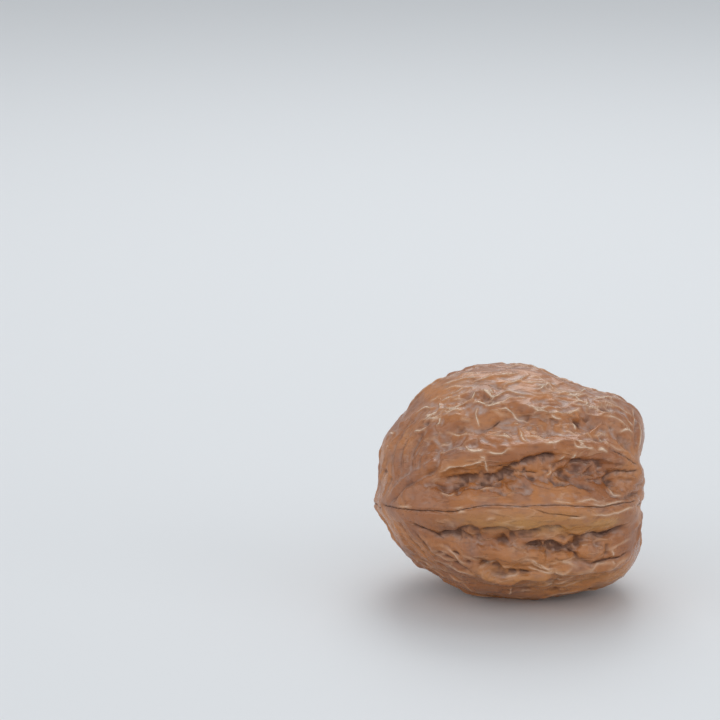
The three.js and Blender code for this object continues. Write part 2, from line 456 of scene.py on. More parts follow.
# %% The shoulder ridge
front_shoulder = {
    "swell": [
        (3.8, 0.36, [(9.5, 5.4), (12, 6.6), (16, 7.2), (20, 7.4), (24, 8.3), (28, 8.8), (32, 8.4),
                     (36, 7.9), (39.5, 6.7)]),
    ],
    "crease": [
        (1.3, -0.35, [(18.5, 5.8), (21.5, 6.2), (22.6, 6.5), (24.5, 7.2), (27, 7.6), (29, 7.7)]),
    ],
    "vein": [
        (0.24, [(10.3, 5.1), (11.3, 5.4), (12, 5.85), (14, 6.1), (15.6, 6.4), (17.7, 7.1)]),
        (0.18, [(16.6, 7.35), (17.8, 7.45)]),
        (0.24, [(10.2, 8), (11.8, 8.3), (13.2, 8.8), (14.3, 9)]),
        (0.24, [(14.6, 9.3), (15, 8.55), (16.5, 8.3), (17.7, 8.45)]),
        (0.24, [(17.4, 8.1), (18.6, 8), (20, 8), (21.1, 8.5), (22.2, 8.8)]),
        (0.22, [(17.6, 7.4), (17.7, 6.3), (17.8, 5.1)]),
        (0.18, [(26.3, 9.4), (28, 9.7), (29.4, 10)]),
        (0.28, [(31.2, 9.9), (31.4, 9.2), (32.1, 8.95), (34.3, 8.95)]),
        (0.22, [(31.5, 9.95), (33.1, 10)]),
        (0.22, [(31.9, 9.6), (32.6, 9.45)]),
        (0.28, [(34.6, 8.7), (35.3, 8.8), (36.2, 8.4)]),
        (0.28, [(34.9, 10.7), (35.8, 10.2), (36.5, 9.4)]),
    ],
    "ridge": [
        (0.3, [(38, 7.4), (38.6, 7.4)]),
    ],
}

# %% The upper cheek
front_cheek = {
    "hollow": [
        (4.6, -0.81, [(10.5, 9.6), (14, 11.2), (18, 12.3), (22, 13.3), (26, 12.8), (30, 11.4)]),
        (2.6, -0.81, [(22.5, 14.3), (24.3, 13.4)]),
        (2.4, -0.68, [(32.9, 14), (33.3, 13.2)]),
        (2.6, -0.61, [(32.8, 11.8), (34.2, 12.6)]),
        (3.2, -0.68, [(37.6, 11.4), (38.7, 10.4), (39.4, 9.5), (40.2, 8.7)]),
        (1.3, -0.41, [(40.7, 13.8), (40.85, 12), (40.7, 9.8)]),
        (2.2, -0.45, [(15.4, 9.6), (16.8, 9.9)]),
        (2.4, -0.5, [(13.2, 11.4), (13.9, 12.4)]),
        (2.2, -0.5, [(21.4, 11.6), (22.4, 11.9)]),
        (2.4, -0.5, [(25.2, 11.2), (27, 11.4)]),
        (2.2, -0.5, [(27.6, 13.2), (29.2, 13.1)]),
        (2.6, -0.6, [(25.6, 16.2), (27.6, 16), (30, 16)]),
        (2.2, -0.5, [(34.6, 10.2), (36, 10.6)]),
        (2.2, -0.5, [(35, 14.9), (37, 14.6)]),
        (2, -0.45, [(16.8, 16.6), (18.6, 16.1)]),
        (2, -0.45, [(21.2, 15.2), (22.4, 15.4)]),
    ],
    "swell": [
        (3.2, 0.47, [(13.6, 9.9), (16.3, 10.5), (19.5, 10.2)]),
        (3.6, 0.54, [(17.5, 14), (20, 14.6), (22.3, 15.6)]),
        (4, 0.54, [(10.8, 12.6), (12.4, 12.9), (14.6, 13.6)]),
        (3, 0.54, [(28, 12.2), (29.6, 12.2)]),
        (2.2, 0.54, [(31, 13.9), (32, 13.8)]),
        (4.4, 0.54, [(34.6, 14), (37, 13.7), (38.6, 13)]),
        (2.4, 0.4, [(25.6, 12.2), (27, 12.3)]),
        (2.6, 0.4, [(24.4, 15.3), (26, 15.2)]),
        (2.4, 0.4, [(12, 10.8), (13, 10.2)]),
        (2.6, 0.4, [(34, 15.7), (36.4, 15.7)]),
    ],
    "crease": [
        (1.6, -0.36, [(17, 11.8), (18.2, 12.2), (19.3, 13), (20.1, 13.6)]),
        (2.2, -0.64, [(36.4, 8.8), (38, 8.35), (39.3, 7.6), (40.4, 7.1), (41.4, 6.6)]),
    ],
    "pit": [
        (0.9, -0.32, [(20, 12.45), (21.4, 12.25)]),
        (-0.32, [(24, 12.2), (24.9, 12.1)]),
        (2, -0.82, [(31.1, 12.9), (32.2, 12.6)]),
        (1, -0.32, [(36.6, 12.4), (37, 12.1)]),
    ],
    "ridge": [
        (1.4, 0.47, [(16.7, 10.9), (17.6, 11.2), (18.4, 11.7)]),
        (1.1, 0.41, [(16.6, 9.7), (17.5, 9.1), (18.3, 9.1)]),
        (1.1, 0.47, [(23.9, 12.9), (25, 13.3), (26.3, 13.1)]),
        (1.2, 0.47, [(32.8, 10.9), (34, 11.5), (35.2, 12.3), (36.1, 12.1)]),
    ],
    "vein": [
        (0.28, [(20, 11), (20.8, 10.6), (21.6, 10)]),
        (0.28, [(22.8, 12), (23.1, 10.8), (23.3, 10), (24.2, 9.75)]),
        (0.22, [(21.8, 12.8), (22.7, 12.8)]),
        (0.33, [(31, 12.9), (31.15, 12.2), (31.4, 11.6)]),
        (0.22, [(38.1, 11.5), (39.4, 11.75), (40.4, 11.3)]),
        (0.28, [(41.1, 13), (41.35, 11.4), (41.2, 10), (40.9, 8.6)]),
    ],
}

# %% The veins of the upper cheek
front_veins = {
    "vein": [
        (0.37, [(24.8, 14.1), (25.6, 14.5), (26.4, 14.6), (27.5, 14.3), (28.5, 14.5), (29.5, 14.2),
                (30.5, 14.4), (31.3, 14.8), (32.2, 15)]),
        (0.24, [(27.6, 14), (28.4, 13.6), (29.3, 13.45)]),
        (0.33, [(28.4, 17.2), (30, 17.2), (31, 16.8), (31.8, 16.85), (33.1, 17.2)]),
        (0.31, [(31.1, 16.8), (31.7, 16.3), (32.4, 16.1)]),
        (0.24, [(29, 17.65), (30.5, 17.55), (31.7, 17.55), (33, 18)]),
        (0.28, [(33.1, 16.5), (32.9, 15.8), (33, 14.9)]),
        (0.28, [(33.6, 16.15), (34.8, 16.4), (36, 16.7), (37.7, 16.4)]),
        (0.33, [(38.8, 13.8), (39.5, 13), (40.2, 12.3)]),
        (0.31, [(40.1, 15.1), (40.4, 13.9), (40.4, 12.8), (40.2, 12.1)]),
        (0.29, [(24.9, 18.4), (26, 18.35), (26.6, 18.35), (27.2, 18.75)]),
        (0.24, [(25.2, 17.8), (26, 18), (26.6, 18.3)]),
        (0.29, [(27.3, 18.6), (28.7, 18.6)]),
        (0.22, [(27.5, 18.5), (27.9, 17.8)]),
        (0.33, [(10.7, 15.7)]),
        (0.29, [(10.7, 15.8), (11.3, 16.2), (12.3, 16.65)]),
        (0.33, [(11.6, 16.9), (12.5, 17.1), (13.2, 17.4), (14, 17.9), (15.2, 18.2)]),
        (0.33, [(10.3, 15.6), (10.45, 15.1), (10.45, 14.6)]),
        (0.35, [(10.4, 14.7), (11.8, 14.9), (12.8, 15.1), (13.7, 15.6), (15.2, 16)]),
        (0.2, [(10.3, 14.3), (11.5, 14.4), (12.8, 14.7), (13.6, 15.1)]),
        (0.33, [(15.1, 16), (15.4, 16.6), (15.7, 17.2), (15.9, 17.5)]),
        (1.06, 0.33, [(15.9, 17.4)]),
        (0.31, [(16.1, 16.6)]),
        (0.35, [(16.1, 17.5), (17, 17.5), (17.8, 17.1), (18.3, 16.65), (18.9, 16.65), (19.6, 17),
                (20.4, 17.5), (21.2, 17.5), (22, 17.2), (24.4, 17)]),
        (0.22, [(17.9, 17.9), (18.3, 17.5), (18.7, 17)]),
        (0.29, [(15.2, 16.1), (15.8, 15.8), (17.2, 15.6), (19.2, 15.8), (20.1, 15.9), (20.8, 16.4),
                (22.1, 16.5)]),
        (0.22, [(22.3, 16.6), (23.7, 16.6)]),
        (0.26, [(17.1, 15.2), (18.4, 15.3), (20.1, 15.5)]),
        (0.35, [(19.9, 18), (20.5, 18.5), (21, 18.8), (22, 19), (22.8, 19.4), (24, 20.2)]),
        (0.29, [(15.2, 18.9), (16.5, 19.3), (17.7, 19.7), (18.6, 20)]),
        (0.26, [(10.6, 18.4), (12.2, 18.95), (13.2, 19.2), (14.5, 19.6), (16.5, 19.8)]),
        (0.22, [(16.2, 15.1), (16.1, 14.3), (16.1, 13.5), (16.45, 12.2)]),
    ],
    "hollow": [
        (1.5, -0.3, [(11.5, 15.6), (13, 16.1), (14.8, 16.7)]),
        (2.4, -0.5, [(19, 18.8), (19.5, 17.9)]),
        (1.6, -0.3, [(25.4, 16), (27.5, 15.8), (29.5, 15.7)]),
    ],
}

# %% The ledges: where one fold of the shell stands over the next
front_ledges = {
    "ledge": [
        (3.29, -0.66, [(10.6, -4.5), (11.8, -4.3), (13, -4.4), (13.9, -3.9), (14.9, -3.5), (15.8, -3.8),
                       (16.6, -4.4)]),
        (3.8, -1.12, [(17.2, -4.1), (19, -3.85), (20.3, -3.85), (21.7, -4.3), (23.3, -4.3),
                      (24.5, -4.15), (25.7, -3.8), (26.8, -3.5), (28.5, -3.3), (29.8, -3.6)]),
        (3.04, -0.74, [(30.4, -4.3), (31.5, -4.7), (32.6, -4.6), (33.6, -4.35), (35.2, -4.2),
                       (37, -3.8), (38.8, -3.1)]),
        (3.6, -0.85, [(23.2, -6.3), (24, -6.15), (25.1, -5.5), (25.7, -5.8), (26.4, -6.35), (27, -6.1),
                      (27.6, -5.4), (28.3, -5.8), (29.2, -6.3), (30.2, -6.2), (31, -5.6), (32.2, -5)]),
        (3.04, -0.83, [(21.8, -12.1), (23, -11.8), (24, -11.55), (25.2, -11.6), (26.3, -11.5),
                       (27.2, -11.85), (28.5, -12.2)]),
        (2.78, -0.83, [(16.9, -9.4), (18, -9), (18.8, -8.9), (19.5, -9.25), (20.3, -9.8)]),
        (2.86, -0.47, [(11.5, 4.2), (14, 4.4), (15.5, 4.5), (17, 4.9), (18.4, 4.5), (19.3, 5.1),
                       (20.5, 5.4), (21.5, 5.9), (22.5, 6.3), (23.3, 7.1), (25, 7.6), (28.7, 7.9)]),
        (2.64, -0.47, [(30.3, 7.1), (31.5, 7), (33, 6.9), (34.4, 7.15), (35.2, 7.15), (36.5, 6.8),
                       (38, 6.5), (40, 6.3)]),
        (1.98, -0.43, [(34, 2.2), (32.9, 2.7), (31.9, 3.1), (31, 3.5), (29.5, 3.1), (28.2, 3.3),
                       (27.4, 4)]),
        (1.98, -0.43, [(24.6, 1.8), (23.5, 1.6), (22.5, 2), (21.4, 1.8), (20.3, 1.5), (19.3, 2.3),
                       (17.6, 2), (16.3, 2.3), (15, 2.5), (13.8, 1.9), (12.9, 1.5), (11.6, 1.1),
                       (10.5, 1.8)]),
        (2.4, -0.3, [(32.2, 15), (31.3, 14.8), (30.5, 14.4), (29.5, 14.2), (28.5, 14.5), (27.5, 14.3),
                     (26.4, 14.6), (24.8, 14.1)]),
        (1.8, -0.26, [(15.2, 16), (13.7, 15.6), (12.8, 15.1), (11.8, 14.9), (10.4, 14.7)]),
        (1.6, -0.21, [(20.1, 15.9), (19.2, 15.8), (17.2, 15.6), (15.8, 15.8)]),
        (2.2, -0.26, [(17.6, 8.4), (16.5, 8.25), (15, 8.5), (13.2, 8.8), (11.8, 8.3), (10.2, 8)]),
    ],
}

# %% The fan of ridges at the tip
front_tip = {
    "ridge": [
        (1.1, 0.41, [(1.2, 2.6), (1.5, 4.5), (1.9, 6), (2.4, 7.6), (3, 9), (3.8, 10.3)]),
        (1.1, 0.34, [(3.7, 4.5), (3.7, 6.5), (4.2, 8.8), (5.2, 11), (6.2, 12.5)]),
        (1.2, 0.41, [(5.1, 5.5), (5.3, 8), (6, 10)]),
        (1.3, 0.41, [(6.9, 6), (7.4, 8), (8.1, 9.6), (9.1, 11)]),
        (1, 0.34, [(4.3, 12.1), (4.8, 12.9)]),
        (1, 0.27, [(3.6, -3.2), (5, -5.6), (6.5, -7.5), (8.2, -8.9)]),
        (1, 0.27, [(5.2, -2.8), (6.8, -5), (8.6, -7), (10.4, -8.8)]),
    ],
    "groove": [
        (1.4, -0.61, [(2.2, 1.5), (2.8, 4), (2.9, 6), (3.2, 8), (4.1, 10), (5.2, 11.6), (6.4, 13.2)]),
        (1, -0.34, [(4.4, 5), (4.5, 7.5), (5.1, 9.5), (5.9, 11)]),
        (1.2, -0.41, [(6, 5.3), (6.2, 7.8), (6.9, 9.6), (7.7, 10.8)]),
        (1.8, -0.61, [(7, 5.1), (8.6, 4.7), (9.7, 5.3), (10.2, 6.6), (10.1, 8)]),
        (1.1, -0.41, [(1.4, 5.1), (2.4, 5)]),
        (0.9, -0.27, [(4.2, -2.8), (6, -5.4), (8, -7.6), (9.9, -9.2)]),
        (0.9, -0.27, [(6.6, -4.4), (7.9, -6), (9.4, -7.5)]),
    ],
    "swell": [
        (2.9, 0.55, [(8.4, 6.2), (8.7, 7.8)]),
    ],
    "vein": [
        (0.39, [(6.5, 11.2), (7.5, 11.15), (8, 11.4), (8.6, 12)]),
        (0.28, [(8, 13.6), (9.1, 13.7), (9.9, 14), (10.4, 14.6)]),
        (0.24, [(6.9, 14.2), (7.6, 14.6), (8.4, 15), (9.5, 14.8)]),
        (0.24, [(7.5, 13.8)]),
        (0.22, [(6.7, 13.9)]),
        (0.22, [(9.8, 12), (10.3, 12.3), (10.5, 13.1), (10.7, 13.7)]),
        (0.28, [(2.3, 8.6), (2.6, 9)]),
        (0.22, [(6.6, 7.6)]),
        (0.28, [(2.8, 11), (3.5, 10.8)]),
    ],
    "pit": [
        (1.3, -0.37, [(7.9, 12.4), (8.4, 12.2)]),
    ],
}

# %% The lower half
front_lower = {
    "crease": [
        (1.35, -0.44, [(6.1, -3.1), (7.2, -3.6), (8.2, -4), (9.8, -4.6), (10.6, -5.1), (11.7, -5.6)]),
        (2.1, -0.53, [(10.4, -4.7), (11.6, -4.5), (12.7, -4.5), (13.9, -4.6)]),
        (2.1, -0.53, [(17, -4.1), (18.4, -4.1), (19.3, -3.95), (20.2, -4), (21.2, -4.3)]),
        (2.55, -0.7, [(30.2, -6.2), (30.9, -6.8), (31.4, -7.4), (32, -8.2)]),
        (2.25, -0.44, [(32.9, -4.6), (34.2, -4.25), (35.5, -4.35), (36.3, -4.3), (37.3, -3.9),
                       (38.8, -3.3)]),
        (1.35, -0.44, [(34, -8.9), (35.4, -8.6), (36.6, -8.3), (38, -8), (39, -7.6), (39.9, -6.8)]),
        (1.65, -0.4, [(11.3, -7.8), (12.2, -8.4), (13.2, -8.6)]),
        (1.35, -0.39, [(12.3, -7.2), (13.2, -7.7), (13.9, -8)]),
        (1.65, -0.44, [(12.5, -8.9), (13.7, -9.5), (15.1, -10.2)]),
        (1.35, -0.44, [(17, -8.8), (18, -8.7)]),
        (1.35, -0.39, [(21.2, -10.15), (22.4, -10.35)]),
        (1.35, -0.39, [(22.9, -10.15), (24.5, -10.3)]),
        (1.95, -0.44, [(25.1, -11.65), (26.3, -11.7), (27.2, -12), (28.3, -12.2)]),
        (1.65, -0.44, [(28.4, -11.5), (29.5, -11.1)]),
    ],
    "pit": [
        (1.88, -0.68, [(14, -3.95), (14.9, -3.75), (15.9, -4.05), (16.5, -4.6)]),
        (2.5, -0.64, [(19.9, -5.2), (20.5, -5)]),
        (1.88, -0.76, [(21.9, -4.5), (23.3, -4.6), (24.5, -4.4), (25.7, -4.15), (26.8, -3.95),
                       (28.2, -3.7)]),
        (1.75, -0.72, [(31.4, -5.7), (32.2, -5.45)]),
        (1.12, -0.39, [(10.2, -7.45), (10.9, -7.3)]),
        (1.25, -0.43, [(14.4, -8.6), (15.4, -8.85)]),
        (1.75, -0.68, [(17.1, -9.5), (18, -9.25), (18.7, -9.15), (19.4, -9.5), (20.1, -9.9)]),
        (2, -0.6, [(22, -12.5), (23, -12.2), (24.2, -12), (25.2, -12.1)]),
    ],
    "hollow": [
        (2.42, -0.75, [(21.2, -4.9), (22.3, -5.2)]),
        (1.32, -0.45, [(36.5, -5.7), (36.6, -6.8), (36.2, -7.8)]),
        (2.64, -0.6, [(31, -12), (33, -11.7), (35, -11.3)]),
        (2.4, -0.5, [(22.6, -8.8), (24, -8.5), (25.4, -8.2)]),
        (3, -0.6, [(14.6, -5.4), (14.9, -4.6)]),
        (3, -0.6, [(19.8, -6), (20.3, -5.2)]),
        (3.2, -0.6, [(17.4, -10.2), (18.6, -9.8), (19.8, -10.4)]),
        (2.6, -0.5, [(11.2, -6.4), (12.4, -6.6)]),
        (2.8, -0.5, [(23.2, -13.4), (24.6, -12.8)]),
        (2.6, -0.45, [(27.5, -13.2), (29, -12.9)]),
        (2.6, -0.5, [(34.2, -6.2), (35.4, -5.9)]),
        (2.6, -0.5, [(33.2, -10.8), (35.4, -10.6)]),
        (1.9, -0.35, [(25.1, -6), (24.8, -6.8), (24.3, -7.8)]),
        (2, -0.5, [(27.7, -5.9), (27.6, -6.8), (27.1, -8)]),
        (1.9, -0.5, [(30.9, -6), (31.3, -7), (31.8, -8.2)]),
    ],
    "ridge": [
        (1.65, 0.52, [(22.8, -5.45), (25, -5.2), (27, -5), (29, -5.4), (30.6, -5.6)]),
        (2.64, 0.75, [(16, -9.2), (17.2, -10.2), (18.1, -11.1), (19.5, -11.6), (21.5, -11.6),
                      (23.2, -11.2), (25.5, -11.1), (27.7, -11.2)]),
        (2.64, 0.45, [(29, -9.9), (32, -9.9), (35, -9.7), (38.4, -9.1)]),
        (1.21, 0.38, [(14.2, -4.9), (14.2, -6), (14.5, -7.3)]),
    ],
    "vein": [
        (0.28, [(32.3, -5.9), (33.4, -5.95)]),
        (0.28, [(37.1, -6.7), (37.3, -7.2), (37.4, -7.8)]),
        (0.24, [(37.3, -8.3), (37.4, -8.8)]),
        (0.22, [(21.7, -12.7), (21.5, -13.8)]),
        (0.18, [(24.5, -8.4), (25.5, -9.2), (27, -9.6), (29.2, -9.8)]),
        (0.18, [(24, -9.3), (26, -10), (28, -10.4), (30.6, -10.3)]),
    ],
    "swell": [
        (3.74, 0.52, [(33, -7), (34.6, -7.2)]),
        (4.4, 0.52, [(15.5, -6.5), (19, -7), (23, -7.7), (28, -8)]),
        (3, 0.5, [(16.6, -7), (17.4, -6.4)]),
        (3, 0.5, [(22.4, -7.2), (22.8, -6.6)]),
        (1.8, 0.8, [(26.3, -7.9), (26.4, -6.4)]),
        (1.8, 0.8, [(29.7, -8.2), (29.7, -6.7)]),
        (3, 0.4, [(9.4, -6.4), (10.4, -7.4)]),
    ],
}

# %% Carve the front
front = []
for region in (front_band, front_pits, front_shoulder, front_cheek,
               front_veins, front_ledges, front_tip, front_lower):
    for kind, strokes in region.items():
        for stroke in strokes:
            width = stroke[0] if len(stroke) == 3 else NARROWEST
            front.append((kind, width, *stroke[-2:]))
carve("front", front)

# %% [markdown]
# ## The other sides
# The back, the top and the underside follow the same rules of growth, so they are drawn by rule:
# a seam and its band, a row of pits along each edge of the band, wandering grooves over the
# cheeks with swells between them, thin veins that fork, and fine ridges that fan out from both
# ends. Every choice comes from one generator with a fixed seed, so the nut is the same every time.

# %% Wandering paths
growth = np.random.default_rng(42)
MM_PER_DEGREE = 18 * math.pi / 180  # on the shell, about 18 mm from the axis
HEADING_KEPT = 0.6  # of a path's heading, from one step to the next


def wander(along, degrees, length, drift, step=1.5):
    """A path round the nut that runs lengthwise and drifts from side to side, in degrees a step."""
    path = [(along, degrees)]
    heading = 0.0
    for _ in range(max(2, round(length / step))):
        heading = HEADING_KEPT * heading + growth.uniform(-drift, drift)
        along += step
        degrees += heading
        path.append((along, degrees))
    return path


def strayed(path, amount):
    """A path with each point moved a little, by up to amount mm."""
    moves = growth.uniform(-amount, amount, (len(path), 2))
    return [(a + da, b + db / MM_PER_DEGREE) for (a, b), (da, db) in zip(path, moves)]


# %% The back edge of the seam
BACK = 180  # degrees
back_band = [
    ("crease", 0.8, -0.35, strayed([(a, BACK) for a in range(2, 42, 3)], 0.3)),
    ("crease", 0.6, -0.22, strayed([(a, BACK + 4) for a in range(14, 26, 3)], 0.3)),
    ("vein", 0.6, 0.2, strayed([(a, BACK - 3) for a in range(22, 36, 3)], 0.3)),
    ("vein", 0.5, 0.16, strayed([(a, BACK + 5) for a in range(5, 13, 2)], 0.2)),
]
PITS_FROM, PITS_TO = 10.0, 37  # mm along
LIPPED = 0.6  # the share of the pits that have a raised lip
FOLDS = ((11, 19), (21, 29), (31, 38))  # mm along, from and to
for edge in (-1, 1):
    along = PITS_FROM
    while along < PITS_TO:
        length = growth.uniform(0.8, 3.4)
        degrees = BACK + edge * growth.uniform(10, 22)
        end = (along + length, degrees + growth.uniform(-5, 5))
        depth = -growth.uniform(0.25, 0.65)
        back_band.append(("pit", growth.uniform(1.3, 2.6), depth, [(along, degrees), end]))
        if growth.random() < LIPPED:
            lip = [(along - 0.9, degrees - 3.5), (along - 0.3, degrees), (along - 0.8, degrees + 3)]
            back_band.append(("ridge", growth.uniform(0.8, 1.3), growth.uniform(0.2, 0.45), lip))
        along += length * growth.uniform(0.5, 1.0) + growth.uniform(0.4, 2.4)
    for start, stop in FOLDS:
        fold = wander(start, BACK + edge * growth.uniform(12.5, 15), stop - start, 1.6)
        back_band.append(("ledge", 2.4, -0.45, fold if edge > 0 else fold[::-1]))
print("back band:", len(back_band))

# %% The cheeks' grooves and swells
HIDDEN = (84, 272)  # degrees: from the top, round the back, to the underside
GROOVES_APART = 10.5  # degrees
cheeks = []
for degrees in np.arange(HIDDEN[0] + 8, HIDDEN[1], GROOVES_APART):
    if abs(degrees - BACK) < 20:
        continue
    start = growth.uniform(4, 9)
    length = growth.uniform(20, 30)
    cheeks.append(("hollow", growth.uniform(2.2, 3.2), -growth.uniform(0.35, 0.6),
                   wander(start, degrees, length, 2.6)))
    cheeks.append(("swell", growth.uniform(3, 4.4), growth.uniform(0.2, 0.4),
                   wander(start + 2, degrees + 5, length * 0.8, 2.2)))

# %% Their pits and creases
CHEEK_PITS, CHEEK_VEINS = 34, 75  # how many are tried: those that fall on the band are left out
for _ in range(CHEEK_PITS):
    start = (growth.uniform(5, 36), growth.uniform(*HIDDEN))
    if abs(start[1] - BACK) < 14:
        continue
    kind = "pit" if growth.random() < 0.55 else "crease"
    cheeks.append((kind, growth.uniform(0.9, 1.7), -growth.uniform(0.35, 0.75),
                   wander(*start, growth.uniform(1, 4), 3.5, step=0.9)))

# %% Their veins, half of them forked
for _ in range(CHEEK_VEINS):
    start = (growth.uniform(4, 34), growth.uniform(HIDDEN[0] - 6, HIDDEN[1]))
    if abs(start[1] - BACK) < 12:
        continue
    path = wander(*start, growth.uniform(2.5, 9), 2.4, step=1.1)
    cheeks.append(("vein", growth.uniform(0.5, 0.75), growth.uniform(0.18, 0.34), path))
    if growth.random() < 0.5:
        fork = path[len(path) // 2]
        turn = growth.choice([-1, 1]) * growth.uniform(2, 5)
        branch = [fork, (fork[0] + 0.6, fork[1] + turn), (fork[0] + 1.6, fork[1] + 1.8 * turn)]
        cheeks.append(("vein", NARROWEST, growth.uniform(0.18, 0.3), branch))
print("cheeks:", len(cheeks))

# %% Fine veins over the crown and low on the front
for count, low_edge, high_edge in ((95, 32, 112), (36, 282, 338)):
    for _ in range(count):
        start = (growth.uniform(7, 36), growth.uniform(low_edge, high_edge))
        path = wander(*start, growth.uniform(1.5, 6), 1.6, step=0.8)
        cheeks.append(("vein", growth.uniform(0.35, 0.5), growth.uniform(0.06, 0.16), path))

# %% [markdown]
# ## Both ends
# Soft ridges and grooves run out from the tip and from the stem end, uneven in length and spacing,
# and the seam's line crosses both ends from the front edge to the back. At the stem end it runs
# into the shallow scar where the stem was.

# %% The fan behind the tip
fans = []
degrees = 96.0
while degrees < 300:
    start, reach = growth.uniform(1.4, 3.4), growth.uniform(3, 9)
    kind = "ridge" if growth.random() < 0.5 else "groove"
    height = growth.uniform(0.12, 0.28) * (1 if kind == "ridge" else -1)
    fans.append((kind, growth.uniform(1, 1.8), height, wander(start, degrees, reach, 1.8)))
    degrees += growth.uniform(5, 15)


def ray_from(middle, radii, turns):
    """A path of three points away from a middle, at three distances and in three directions."""
    return [(middle[0] + r * math.cos(t), middle[1] + r * math.sin(t)) for r, t in zip(radii, turns)]


# %% The tip
TIP_RELIEF = 0.26  # mm, of the ridges and the grooves
tip_end = [("crease", 0.8, -0.3, [(-6.5, -0.7), (-4.2, -0.5), (-1.8, -0.15), (0, 0), (1.6, 0.2),
                                 (4, 0.1), (7, 0)])]
degrees = -112.0
while degrees < 112:
    inner, outer = growth.uniform(1.4, 3), growth.uniform(5, 9.5)
    if abs(degrees) > 9:
        turns = np.radians(degrees + np.array([0, 0.4, 1]) * growth.uniform(-9, 9))
        kind = "groove" if growth.random() < 0.45 else "ridge"
        height = TIP_RELIEF if kind == "ridge" else -TIP_RELIEF
        ray = ray_from((0, 0), np.linspace(inner, outer, 3), turns)
        tip_end.append((kind, growth.uniform(1.0, 1.7), height, ray))
    degrees += growth.uniform(7, 17)

# %% The stem end
SCAR = (0.0, 1.2)  # mm sideways and above the seam: the middle of the scar
SCAR_WIDTH, SCAR_TALL = 2.1, 1.5  # mm from its middle to its rim
stem_end = [
    ("crease", 0.8, -0.3, [(-10, 0.1), (-7.5, 0.4), (-5, 0.4), (-3.4, 0.8), (-2.2, 1.1)]),
    ("crease", 0.8, -0.3, [(2.2, 1.1), (3.6, 1), (5.4, 0.4), (8, 0.3), (10.5, 0)]),
    ("hollow", 3.4, -0.4, [(-0.6, 1.2), (0.6, 1.2)]),
]
rim = [(SCAR[0] + SCAR_WIDTH * growth.uniform(0.85, 1.1) * math.cos(turn),
        SCAR[1] + SCAR_TALL * growth.uniform(0.85, 1.1) * math.sin(turn))
       for turn in np.linspace(0, 2 * math.pi, 12)]
stem_end.append(("ridge", 1.2, 0.28, [*rim[:-1], rim[0]]))
degrees = -165.0
while degrees < 175:
    inner, outer = growth.uniform(2.8, 4.5), growth.uniform(6, 10.5)
    if abs(degrees) > 14:
        turns = np.radians(degrees + np.array([0, 0.4, 1]) * growth.uniform(-10, 10))
        ray = ray_from(SCAR, np.linspace(inner, outer, 3), turns)
        kind = "groove" if growth.random() < 0.6 else "ridge"
        height = growth.uniform(0.2, 0.4) * (1 if kind == "ridge" else -1)
        stem_end.append((kind, growth.uniform(1.2, 2.0), height, ray))
    degrees += growth.uniform(10, 22)
print("fans:", len(fans), "tip:", len(tip_end), "stem end:", len(stem_end))

# %% Carve the other sides
DEEPEST = 1.25  # mm: overlapping pits level off before they reach this
carve("round", back_band + cheeks + fans)
carve("stem", stem_end)
carve("tip", tip_end)
lift = np.where(lift < 0, DEEPEST * np.tanh(lift / DEEPEST), lift)
carved = blank + blank_normals * lift[:, None]
print("lift, mm:", round(lift.min(), 2), "to", round(lift.max(), 2))

# %% [markdown]
# ## The fine relief
# What is left follows a rule: low lumps, a net of shallow grooves, broken thin veins, crumpled
# skin, small pits and a fine grain, all drawn out along the nut. Geometry Nodes are made for that.
# The tree moves each point along its normal by the sum of them, and its sizes are inputs, so
# another nut's shell needs only other numbers. Three attributes of the points say how much of it
# there is: "freedom" holds the rule back where the shell is carved from listed strokes or smooth,
# "rough" says where the skin is crumpled, and "pitted" where it is full of small pits.

# %% One way to add a node, and one to give a colour
def add_node(tree, kind, inputs=(), output=0, **settings):
    """Adds a node, fills or links its inputs by name or number, and gives one of its outputs."""
    node = tree.nodes.new(kind)
    for name, value in settings.items():
        setattr(node, name, value)
    for key, value in inputs.items() if isinstance(inputs, dict) else enumerate(inputs):
        if isinstance(value, bpy.types.NodeSocket):
            tree.links.new(value, node.inputs[key])
        else:
            node.inputs[key].default_value = value
    return node.outputs[output] if node.outputs else None


def linear(colour):
    """A screen colour such as "#a5673c" as the linear numbers that Blender reckons in."""
    parts = [int(colour[k : k + 2], 16) / 255 for k in (1, 3, 5)]
    return (*((c / 12.92 if c <= 0.04045 else ((c + 0.055) / 1.055) ** 2.4) for c in parts), 1.0)


# %% The relief's inputs
RELIEF_SIZES = {  # name: value in mm
    "Lump size": 6.5, "Lump height": 0.3,
    "Groove spacing": 4.2, "Groove depth": 0.32,
    "Vein spacing": 3.4, "Vein height": 0.2,
    "Crumple size": 2.1, "Crumple height": 0.3,
    "Pit spacing": 1.6, "Pit depth": 0.42,
    "Grain size": 0.8, "Grain height": 0.06,
}
relief = bpy.data.node_groups.new("shell relief", "GeometryNodeTree")
relief.interface.new_socket("Geometry", in_out="INPUT", socket_type="NodeSocketGeometry")
for name in (*RELIEF_SIZES, "Seed"):
    relief.interface.new_socket(name, in_out="INPUT", socket_type="NodeSocketFloat")
relief.interface.new_socket("Material", in_out="INPUT", socket_type="NodeSocketMaterial")
relief.interface.new_socket("Geometry", in_out="OUTPUT", socket_type="NodeSocketGeometry")
given = add_node(relief, "NodeGroupInput").node.outputs
share_of = {
    name: add_node(relief, "GeometryNodeInputNamedAttribute", [name], data_type="FLOAT")
    for name in ("freedom", "rough", "pitted")
}

